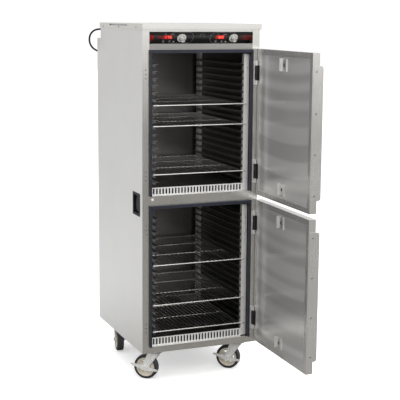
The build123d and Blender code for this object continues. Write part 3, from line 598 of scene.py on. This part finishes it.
# painted shade: the rail under the control panel is painted darker than the stiles beside it
materials["railSteelShaded"] = makeShadedRailFinish("railSteelShaded", steels["frameSteel"], headerRailShade)
finish("railSteelShaded", "front_frame")
finish("galvanised", "base_chassis")
# the liners carry painted shade in their dark colour
finish("linerSteelShaded", "upper_liner", "lower_liner")
finish("slideSteel", "tray_slides")
finish("battWool", "insulation", "upper_door_insulation", "lower_door_insulation")
finish("uprightSteel", "uprights")
finish("brightSteel", "upper_door_vent_plates", "lower_door_vent_plates")
materials["grille"] = makeGrilleFinish(grilleFinish)
# the grille's cover plate carries painted shade
finish("grille", "floor_grilles")
finish("galvanised", "heating_elements")
finish("gasketRubber", "door_gaskets")
finish("panelFilm", "control_panel")
finish("litWindow", "display_lenses")
finish("offWhite", "dial_rings")
finish("blackPlastic", "plug", "strain_relief")
finish("cupPlastic", "grip_cups")
finish("turnedAluminium", "left_knob", "right_knob")
finish("rockerRed", "power_rocker")
for side in ("left", "right"):
    finish("greyPlastic", f"{side}_button_1", f"{side}_button_2")
for level in ("upper", "lower"):
    finish("doorSteel", f"{level}_door_skin", f"{level}_door_handle")
    finish("doorSheet", f"{level}_door_liner")
    # the door hinge leaves are black: partly the hinge's own black knuckle, partly painted shade
    # for the dark gap between door and frame
    finish("blackPlastic", f"{level}_door_hinge_leaves")
    for number in (1, 2, 3):
        finish("chromeWire", f"{level}_shelf_{number}")
finish("zincPlate", "caster_plates")
finish("dullZinc", "body_fasteners")
finish("brightSteel", "frame_hinge_leaves")
for name, c in casters.items():
    centre, axle = axleOf(c)
    materials[name + "Wheel"] = makeWheelFinish(name + "Wheel", centre, axle, wheelFinish)
    finish(name + "Wheel", name + "_wheel")
    finish("zincPlate", name + "_fork")
finish("zincPlate", "front_left_brake_lever", "front_right_brake_lever")
print("stage: carried-over parts finished")


def paint(obj, name):
    obj.data.materials.clear()
    obj.data.materials.append(materials[name])


# power cord
cordShape = {
    "diameter": 10.0,
    "segments": 6,
    "route": [
        (45.0, 712.0, 1622.0),
        (44.6, 735.0, 1622.4),
        (29.0, 764.0, 1625.0),
        (-4.0, 787.0, 1620.0),
        (-24.0, 812.0, 1589.0),
        (-24.0, 811.0, 1542.0),
        (-2.0, 786.0, 1509.0),
        (43.0, 764.0, 1495.0),
        (98.0, 756.5, 1479.0),
        (150.0, 753.5, 1447.0),
        (184.0, 752.5, 1392.0),
        (203.0, 754.0, 1290.0),
        (214.0, 758.0, 1165.0),
        (219.0, 764.0, 1040.0),
        (220.0, 771.0, 912.0),
        (217.0, 777.0, 784.0),
        (212.0, 781.0, 656.0),
        (206.0, 782.0, 528.0),
        (202.0, 780.0, 400.0),
        (201.0, 777.0, 274.0),
        (204.0, 775.0, 150.0),
        (211.0, 777.0, 32.0),
        (221.0, 785.0, -66.0),
        (234.0, 803.0, -131.0),
        (268.0, 808.0, -152.0),
    ],
    "coilCentre": (345.0, 862.0),
    "coilRadius": 50.0,
    "turns": 3.083,
    "inward": (0.68, 1.0),  # turns over which the cord moves to the inner ring
    "outward": (2.15, 2.62),
    "climb": (1.4, 1.7),  # turns over which it climbs on to the upper layer
    "pointsPerTurn": 18,
    "layer": 10.2,
    "tail": [(78.0, -13.0, 17.0), (109.0, 2.0, 17.0)],
}


def smooth(value, low, high):
    t = min(1, max(0, (value - low) / (high - low)))
    return t * t * (3 - 2 * t)


def coilPoints(s):
    cx, cy = s["coilCentre"]
    half = s["layer"] / 2
    points = []
    count = round(s["turns"] * s["pointsPerTurn"])
    stretch = 1 / math.cos(math.pi / s["pointsPerTurn"])
    for i in range(1, count + 1):
        t = i / count * s["turns"]
        inward = smooth(t, *s["inward"]) - smooth(t, *s["outward"])
        radius = (s["coilRadius"] + half - inward * 2 * half) * stretch
        height = s["diameter"] / 2 + smooth(t, *s["climb"]) * s["diameter"] - body["caster"]
        angle = -math.pi / 2 + t * 2 * math.pi
        points.append((cx + radius * math.cos(angle), cy + radius * math.sin(angle), height))
    return points


def makeCord(s):
    cx, cy = s["coilCentre"]
    points = s["route"] + coilPoints(s)
    points += [(cx + x, cy + y, z - body["caster"]) for x, y, z in s["tail"]]
    data = bpy.data.curves.new("powerCord", "CURVE")
    data.dimensions = "3D"
    spline = data.splines.new("NURBS")
    spline.points.add(len(points) - 1)
    for point, place in zip(spline.points, points):
        point.co = (*at(*place), 1)
        point.radius = s["diameter"] / 2000  # with a 1 m bevel, so that the curve's box is right
    spline.order_u = 3
    spline.use_endpoint_u = True
    spline.resolution_u = s["segments"]
    data.bevel_depth = 1.0
    data.bevel_resolution = s["segments"]
    data.use_fill_caps = True
    obj = bpy.data.objects.new("powerCord", data)
    bpy.context.collection.objects.link(obj)
    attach(obj, "cabinet")
    paint(obj, "cordJacket")
    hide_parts("power_cord", "cord_coil")
    makeTie(s, coilTie)


coilTie = {
    "height": 10.2,  # millimetres from the floor to the strap's middle
    "inner": [(-12.2, -9.6), (12.2, -9.6), (12.2, 9.0), (0, 10.2), (-12.2, 9.0)],
    "spread": 1.1,
    "thickness": 1.2,
    "halfWidth": 7.0,
}


def makeTie(s, tie):  # strap around the coil's left side
    bm = bmesh.new()
    cx, cy = s["coilCentre"]
    centre = at(cx - s["coilRadius"], cy, tie["height"] - body["caster"])
    inner = tie["inner"]
    outer = [(x * tie["spread"], z + tie["thickness"] if z > 0 else z) for x, z in inner]
    rings = []
    for y in (-tie["halfWidth"], tie["halfWidth"]):
        ring = []
        for loop in (inner, outer):
            ring.append([bm.verts.new(centre + Vector((x, y, z)) / 1000) for x, z in loop])
        rings.append(ring)
    front, back = rings
    count = len(inner)
    for i in range(count):
        j = (i + 1) % count
        for near, far in zip(front, back):
            bm.faces.new((near[i], near[j], far[j], far[i]))
        for ring in rings:
            bm.faces.new((ring[0][i], ring[0][j], ring[1][j], ring[1][i]))
    bmesh.ops.recalc_face_normals(bm, faces=bm.faces)
    obj = linkMesh("coilTie", bm)
    paint(obj, "tieStrap")
    return obj


makeCord(cordShape)
print("stage: cord laid")

# control panel
panel = {
    "middle": (315.0, 25.0, 1593.0),
    "tilt": 33.0,
    "pitch": 280.0,  # from the left controls to the right ones
    "display": (-172.5, 3.0),
    "numbers": ("175", "180"),
    "digit": {"step": 14.0, "size": (8.6, 14.0), "bar": 2.6, "layer": (0.45, 0.75), "lean": 0.08},
    "dimBand": (-211.0, 3.0, 29.0, 15.0, 0.02, 0.15),
    "knob": (-98.4, -2.0),
    "dial": {"radius": 22.6, "lift": 1.25, "ticks": 28, "start": -60, "sweep": 300, "every": 3},
    "tick": {"long": 2.6, "short": 1.5, "width": 0.5, "thick": 0.16},
    "dashes": [(-186.5, 20.0, 6, 1.6, 0.02, 0.12), (-150.5, 20.0, 18, 1.4, 0.02, 0.12)],
    "buttonMarks": [(-192.6, -22, 5.0, 0.9, 2.62, 2.75), (-159.6, -22, 5.0, 0.9, 2.62, 2.75)],
    "lamp": (-138.5, -22.0),
    "lampCover": {"lift": 2.25, "radius": 3.4, "tip": 3.0, "depth": 0.4},
    "frames": [  # left, right, low, high, corner radius, line width, rounded end
        (-150, -37, -31, 31, 28, 0.8, "right"),
        (54, 190, -31, 31, 28, 0.8, "left"),
        (-4, 22, 7, 19, 6, 0.7, "right"),
        (-4, 22, 7, 19, 6, 0.7, "left"),
    ],
    "outline": {"lift": 0.08, "thick": 0.12, "steps": 10},
    "streak": {"from": 204.0, "to": 276.0, "height": 30.0, "rows": 5, "gap": 0.9},
}


def panelMatrix(p):
    tilt = math.radians(p["tilt"])
    out = Vector((0, -math.cos(tilt), -math.sin(tilt)))
    up = Vector((0, -math.sin(tilt), math.cos(tilt)))
    turn = Matrix((Vector((1, 0, 0)), up, out)).transposed().to_4x4()
    return Matrix.Translation(at(*p["middle"])) @ turn @ Matrix.Scale(0.001, 4)


onPanel = panelMatrix(panel)


def addBar(bm, x, y, w, h, low, high, lean=0.0):  # flat bar on the panel
    verts = []
    for z in (low, high):
        for sx, sy in ((-1, -1), (1, -1), (1, 1), (-1, 1)):
            px, py = sx * w / 2, sy * h / 2
            verts.append(bm.verts.new(onPanel @ Vector((x + px + py * lean, y + py, z))))
    bottom, top = verts[:4], verts[4:]
    bm.faces.new(bottom[::-1])
    bm.faces.new(top)
    for i in range(4):
        j = (i + 1) % 4
        bm.faces.new((bottom[i], bottom[j], top[j], top[i]))


litBars = {"0": "abcdef", "1": "bc", "5": "acdfg", "7": "abc", "8": "abcdefg"}


def addDigit(bm, digit, x, y, s):  # seven bars, some of them lit
    w, h = s["size"]
    t = s["bar"]
    tall = h / 2 - t * 0.6
    bars = {
        "a": (0, h / 2, w - t, t),
        "g": (0, 0, w - t, t),
        "d": (0, -h / 2, w - t, t),
        "f": (-w / 2, h / 4, t, tall),
        "b": (w / 2, h / 4, t, tall),
        "e": (-w / 2, -h / 4, t, tall),
        "c": (w / 2, -h / 4, t, tall),
    }
    for key in litBars[digit]:
        bx, by, bw, bh = bars[key]
        addBar(bm, x + bx, y + by, bw, bh, *s["layer"], s["lean"])


def addDial(bm, x, y, dial, tick):
    for k in range(dial["ticks"]):
        angle = math.radians(dial["start"] + k * dial["sweep"] / (dial["ticks"] - 1))
        length = tick["long"] if k % dial["every"] == 0 else tick["short"]
        m = onPanel @ Matrix.Translation((x, y, dial["lift"])) @ Matrix.Rotation(angle, 4, "Z")
        m = m @ Matrix.Translation((dial["radius"] - length / 2, 0, 0))
        m = m @ Matrix.Diagonal((length, tick["width"], tick["thick"], 1))
        bmesh.ops.create_cube(bm, size=1, matrix=m)


def makePanelDetails(p):
    digits, ink, white, dim = bmesh.new(), bmesh.new(), bmesh.new(), bmesh.new()
    for shift, number in zip((0.0, p["pitch"]), p["numbers"]):
        x, y = p["display"]
        for i, digit in enumerate(number):
            addDigit(digits, digit, x + shift + (i - 1) * p["digit"]["step"], y, p["digit"])
        kx, ky = p["knob"]
        addDial(ink, kx + shift, ky, p["dial"], p["tick"])
        for x, *rest in p["dashes"] + p["buttonMarks"]:
            addBar(white, x + shift, *rest)
    addBar(dim, *p["dimBand"])
    pieces = [
        (linkMesh("displayDigits", digits), "litRed", "red"),
        (linkMesh("dialScales", ink), "greyInk", "black"),
        (linkMesh("panelMarks", white), "offWhite", "white"),
        (linkMesh("dimBand", dim), "darkRed", "lens"),
    ]
    for obj, name, slotName in pieces:
        paint(obj, name)


def addOutline(bm, x0, x1, y0, y1, radius, width, side, s):  # open frame with one rounded end
    turns = [math.pi / 2 * i / s["steps"] for i in range(s["steps"] + 1)]
    cx, top, bottom = x1 - radius, y1 - radius, y0 + radius
    points = [(x0, y1)]
    points += [(cx + radius * math.sin(a), top + radius * math.cos(a)) for a in turns]
    points += [(cx + radius * math.cos(a), bottom - radius * math.sin(a)) for a in turns]
    points.append((x0, y0))
    if side == "left":
        points = [(x0 + x1 - x, y) for x, y in points]
    for (ax, ay), (bx, by) in zip(points, points[1:]):
        run = Vector((bx - ax, by - ay, 0))
        if run.length < 0.01:
            continue
        m = onPanel @ Matrix.Translation(((ax + bx) / 2, (ay + by) / 2, s["lift"]))
        m = m @ Matrix.Rotation(math.atan2(run.y, run.x), 4, "Z")
        m = m @ Matrix.Diagonal((run.length + width * 0.3, width, s["thick"], 1))
        bmesh.ops.create_cube(bm, size=1, matrix=m)


def makeOutlines(shapes, s):
    bm = bmesh.new()
    for shape in shapes:
        addOutline(bm, *shape, s)
    obj = linkMesh("panelOutlines", bm)
    paint(obj, "greyInk")


streakFinish = {
    "coat": 0.4,
    "roughness": 0.25,
    "dark": (0.008, 0.006, 0.006),
    "red": (0.23, 0.012, 0.012),
    "layer": (0.02, 0.14),
}


def makeStreak(s, look):  # dark red light band that fades towards the left
    material, tree, shader, place = newMaterial("fadingRed", 0.0, look["coat"])
    x0, x1 = s["from"], s["to"]
    across = splitAxes(tree, place)["X"]
    colour = colourRamp(tree, across, x0 / 1000, x1 / 1000, look["dark"], look["red"])
    join(tree, colour, shader.inputs["Base Color"])
    shader.inputs["Roughness"].default_value = look["roughness"]
    materials["fadingRed"] = material
    bm = bmesh.new()
    step = s["height"] / s["rows"]
    for i in range(s["rows"]):
        y = (i - (s["rows"] - 1) / 2) * step
        addBar(bm, (x0 + x1) / 2, y, x1 - x0, step - s["gap"], *look["layer"])
    obj = linkMesh("redStreak", bm)
    paint(obj, "fadingRed")


makePanelDetails(panel)
makeOutlines(panel["frames"], panel["outline"])
makeStreak(panel["streak"], streakFinish)
print("stage: control panel detailed")

# grip cup ribs
cup = {
    "front": 36.0,
    "length": 104.0,
    "bottom": 704.0,
    "height": 116.0,
    "margin": 16.0,
    "ribs": (0.3, 0.5, 0.7),  # along the cup's length
    "halfRib": 3.0,
    "steps": 8,
    "rim": 15.0,
    "bow": 7.0,
    "back": 23.0,
}


def makeCupRibs(c):  # each rib is a stack of blocks that follows the cup's bow
    bm = bmesh.new()
    reach = c["height"] - 2 * c["margin"]
    for x, inward in ((0.0, 1), (body["width"], -1)):
        for share in c["ribs"]:
            y = c["front"] + c["length"] * share
            for k in range(c["steps"]):
                ends = [math.pi * k / c["steps"], math.pi * (k + 1) / c["steps"]]
                zs = [c["bottom"] + c["margin"] + reach * (1 - math.cos(a)) / 2 for a in ends]
                depth = c["rim"] - c["bow"] * math.sin(sum(ends) / 2)
                near = at(x + inward * depth, y - c["halfRib"], zs[0])
                addBox(bm, near, at(x + inward * c["back"], y + c["halfRib"], zs[1]))
    obj = linkMesh("gripRibs", bm)
    paint(obj, "greyPlastic")


makeCupRibs(cup)

# small fittings on the doors and uprights
door = {
    "left": 12.0,
    "right": 618.0,
    "inner": -16.0,
    "hinge": (613.0, -9.0),
    "rest": 89.0,  # degrees open
    "levels": {"upper": (790.6, 1538.0), "lower": (11.6, 763.6)},
}


def openDoor(d):
    pivot = at(*d["hinge"], 0)
    turn = Matrix.Rotation(math.radians(d["rest"]), 4, "Z")
    return Matrix.Translation(pivot) @ turn @ Matrix.Translation(-pivot)


rivet = {
    "inset": 13.0,
    "hingeShift": 8.0,
    "perSide": 5,
    "lift": 0.05,
    "radius": 0.0028,
    "flatness": 0.07,
}


def makeRivets(d, r):  # blind rivets around each door's inner flange
    turn = openDoor(d)
    flat = Matrix.Diagonal((1, 1, r["flatness"], 1))
    left, right, inset = d["left"], d["right"], r["inset"]
    for level, (z0, z1) in d["levels"].items():
        bm = bmesh.new()
        spots = []
        for k in range(r["perSide"]):
            z = z0 + inset + (z1 - z0 - 2 * inset) * k / (r["perSide"] - 1)
            spots.append((left + inset, z))
            spots.append((right - inset - r["hingeShift"], z))
        for k in (1, 2):
            x = left + (right - left) * k / 3
            spots += [(x, z0 + inset), (x, z1 - inset)]
        for x, z in spots:
            m = turn @ axisFrame(at(x, d["inner"] + r["lift"], z), (0, 1, 0)) @ flat
            bmesh.ops.create_uvsphere(
                bm, u_segments=12, v_segments=6, radius=r["radius"], matrix=m
            )
        obj = linkMesh(level + "DoorRivets", bm, level + "_door", True)
        paint(obj, "dullZinc")


edgeScrew = {
    "x": 8.25,
    "y": -36.0,
    "inset": 86.0,
    "count": 4,
    "radius": 0.0041,
    "tip": 0.0037,
    "depth": 0.0004,
}


def makeEdgeScrews(d, e):  # dull heads on the screws that hold each handle to its door
    turn = openDoor(d)
    for level, (z0, z1) in d["levels"].items():
        bm = bmesh.new()
        for k in range(e["count"]):
            z = z0 + e["inset"] + (z1 - z0 - 2 * e["inset"]) * k / (e["count"] - 1)
            m = turn @ axisFrame(at(e["x"], e["y"], z), (-1, 0, 0))
            addDisc(bm, m, e["radius"], 0.0, e["depth"], 24, e["tip"])
        obj = linkMesh(level + "EdgeScrews", bm, level + "_door")
        paint(obj, "dullZinc")


ventScreen = {"sides": (1.2, 628.8), "half": 0.3, "y": (214.0, 510.0), "z": (1646.5, 1656.5)}


def makeVentScreens(v):  # grey mesh just inside the cap's side vents
    bm = bmesh.new()
    (y0, y1), (z0, z1) = v["y"], v["z"]
    for x in v["sides"]:
        addBox(bm, at(x - v["half"], y0, z0), at(x + v["half"], y1, z1))
    obj = linkMesh("capVentScreens", bm)
    paint(obj, "galvanised")


def makeLampMarks(p, c):  # pale cover on each small indicator
    bm = bmesh.new()
    for shift in (0.0, p["pitch"]):
        x, y = p["lamp"]
        m = onPanel @ Matrix.Translation((x + shift, y, c["lift"]))
        low, high = -c["depth"] / 2, c["depth"] / 2
        addDisc(bm, m, c["radius"], low, high, 24, c["tip"])
    obj = linkMesh("lampCovers", bm)
    paint(obj, "offWhite")


stud = {
    "floors": (801, 26),
    "places": ((61.0, 61.9), (569.0, 19.9)),
    "heights": (624, 56),
    "neck": {"radius": 0.0042, "end": 0.0022},
    "tip": {"radius": 0.0024, "end": 0.0034},
}


def makeStuds(s):  # round locating studs under the keyholes of the front uprights
    bm = bmesh.new()
    neck, tip = s["neck"], s["tip"]
    for floor in s["floors"]:
        for x, y in s["places"]:
            for height in s["heights"]:
                m = axisFrame(at(x, y, floor + height), (0, -1, 0))
                addDisc(bm, m, neck["radius"], 0.0, neck["end"], 20)
                addDisc(bm, m, tip["radius"], neck["end"], tip["end"], 16)
    obj = linkMesh("uprightStuds", bm, "cabinet")
    paint(obj, "zincPlate")


bumper = {"place": (54.0, 0.0, 793.0), "radius": 0.0066, "tip": 0.0052, "ends": (0.0034, 0.0046)}


def makeBumper(b):  # white stop on the mid rail that the lower door closes against
    bm = bmesh.new()
    m = axisFrame(at(*b["place"]), (0, -1, 0))
    middle, end = b["ends"]
    addDisc(bm, m, b["radius"], 0.0, middle, 28)
    addDisc(bm, m, b["radius"], middle, end, 28, b["tip"])
    obj = linkMesh("railBumper", bm)
    paint(obj, "offWhite")


# painted shade: black discs where the vent openings look dark
ventHoleShade = {"inset": 69.0, "behind": 1.5, "radius": 0.0086, "depth": 0.0006}


def makeVentHoleShades(d, v):  # painted shade: black discs behind the doors' pressed plates stand for the dark openings
    turn = openDoor(d)
    for level, (z0, z1) in d["levels"].items():
        bm = bmesh.new()
        for z in (z0 + v["inset"], z1 - v["inset"]):
            spot = at(body["width"] / 2, d["inner"] - v["behind"], z)
            m = turn @ axisFrame(spot, (0, 1, 0))
            addDisc(bm, m, v["radius"], 0.0, v["depth"], 28)
        obj = linkMesh(level + "VentHoleShades", bm, level + "_door")
        paint(obj, "blackPlastic")


makeRivets(door, rivet)
makeEdgeScrews(door, edgeScrew)
makeVentScreens(ventScreen)
makeLampMarks(panel, panel["lampCover"])
makeStuds(stud)
makeBumper(bumper)
makeVentHoleShades(door, ventHoleShade)
print("stage: small fittings made")


# light and floor
studio = {
    "floorSize": 60.0,
    "floorRoughness": 0.9,
    "floorShown": (0.98, 0.98, 0.98),
    "floorGlow": 0.4,
    "frontReflected": (0.21, 0.20, 0.185),
    "backReflected": (0.85, 0.85, 0.84),
    "fade": (-1.0, 1.5),  # metres along Y, from the front tone to the back one
    "sky": 0.95,
    "skyShown": 1.05,
    "low": (0.80, 0.79, 0.77),
    "high": (1.0, 1.0, 1.0),
    "lowToHigh": (0.0, 0.5),
}
lights = {
    "leftSoftbox": {
        "place": (-3.6, -1.6, 2.4), "aim": (0, 0, 1.0), "size": (2.4, 2.6), "power": 25,
    },
    "frontSoftbox": {
        "place": (-0.6, -4.6, 3.6), "aim": (0, 0, 1.0), "size": (2.6, 1.6), "power": 55,
    },
    "rightPanel": {
        "place": (2.1, -6.2, 3.2), "aim": (0, -0.4, 1.7), "size": (4.6, 3.0), "power": 42,
    },
    "topSoftbox": {
        "place": (0.4, -0.6, 4.2), "aim": (0, 0, 0.8), "size": (3.2, 3.2), "power": 60,
    },
}


def makeFloor(s):
    bm = bmesh.new()
    bmesh.ops.create_grid(bm, x_segments=1, y_segments=1, size=s["floorSize"] / 2)
    mesh = bpy.data.meshes.new("floor")
    bm.to_mesh(mesh)
    bm.free()
    floor = bpy.data.objects.new("floor", mesh)
    bpy.context.collection.objects.link(floor)
    material, tree, shader, place = newMaterial("paleFloor", 0.0)
    shader.inputs["Roughness"].default_value = s["floorRoughness"]
    shader.inputs["Emission Color"].default_value = (1, 1, 1, 1)
    seen = addNode(tree, "ShaderNodeLightPath").outputs["Is Camera Ray"]
    back = splitAxes(tree, place)["Y"]
    ground = colourRamp(tree, back, *s["fade"], s["frontReflected"], s["backReflected"])
    colour = mixColours(tree, seen, ground, s["floorShown"])
    join(tree, colour, shader.inputs["Base Color"])
    glow = mathNode(tree, "MULTIPLY", seen, s["floorGlow"])
    join(tree, glow, shader.inputs["Emission Strength"])
    mesh.materials.append(material)


def makeLight(name, light):
    data = bpy.data.lights.new(name, "AREA")
    data.shape = "RECTANGLE"
    data.size, data.size_y = light["size"]
    data.energy = light["power"]
    obj = bpy.data.objects.new(name, data)
    aim = Vector(light["aim"]) - Vector(light["place"])
    turn = aim.to_track_quat("-Z", "Y").to_matrix().to_4x4()
    obj.matrix_world = Matrix.Translation(light["place"]) @ turn
    bpy.context.collection.objects.link(obj)


def makeSky(s):  # pale above and slightly darker low down; plain white where the camera sees it
    world = bpy.data.worlds.new("studio")
    bpy.context.scene.world = world
    world.use_nodes = True
    tree = world.node_tree
    background = tree.nodes["Background"]
    height = splitAxes(tree, addNode(tree, "ShaderNodeTexCoord").outputs["Generated"])["Z"]
    colour = colourRamp(tree, height, *s["lowToHigh"], s["low"], s["high"])
    join(tree, colour, background.inputs["Color"])
    background.inputs["Strength"].default_value = s["sky"]
    shown = addNode(tree, "ShaderNodeBackground")
    shown.inputs["Color"].default_value = (1, 1, 1, 1)
    shown.inputs["Strength"].default_value = s["skyShown"]
    choose = addNode(tree, "ShaderNodeMixShader")
    join(tree, addNode(tree, "ShaderNodeLightPath").outputs["Is Camera Ray"], choose.inputs[0])
    join(tree, background.outputs[0], choose.inputs[1])
    join(tree, shown.outputs[0], choose.inputs[2])
    join(tree, choose.outputs[0], tree.nodes["World Output"].inputs["Surface"])


makeFloor(studio)
for name, light in lights.items():
    makeLight(name, light)
makeSky(studio)
bpy.context.scene.view_settings.view_transform = "Standard"
print("stage: studio lit")

bpy.context.view_layer.update()
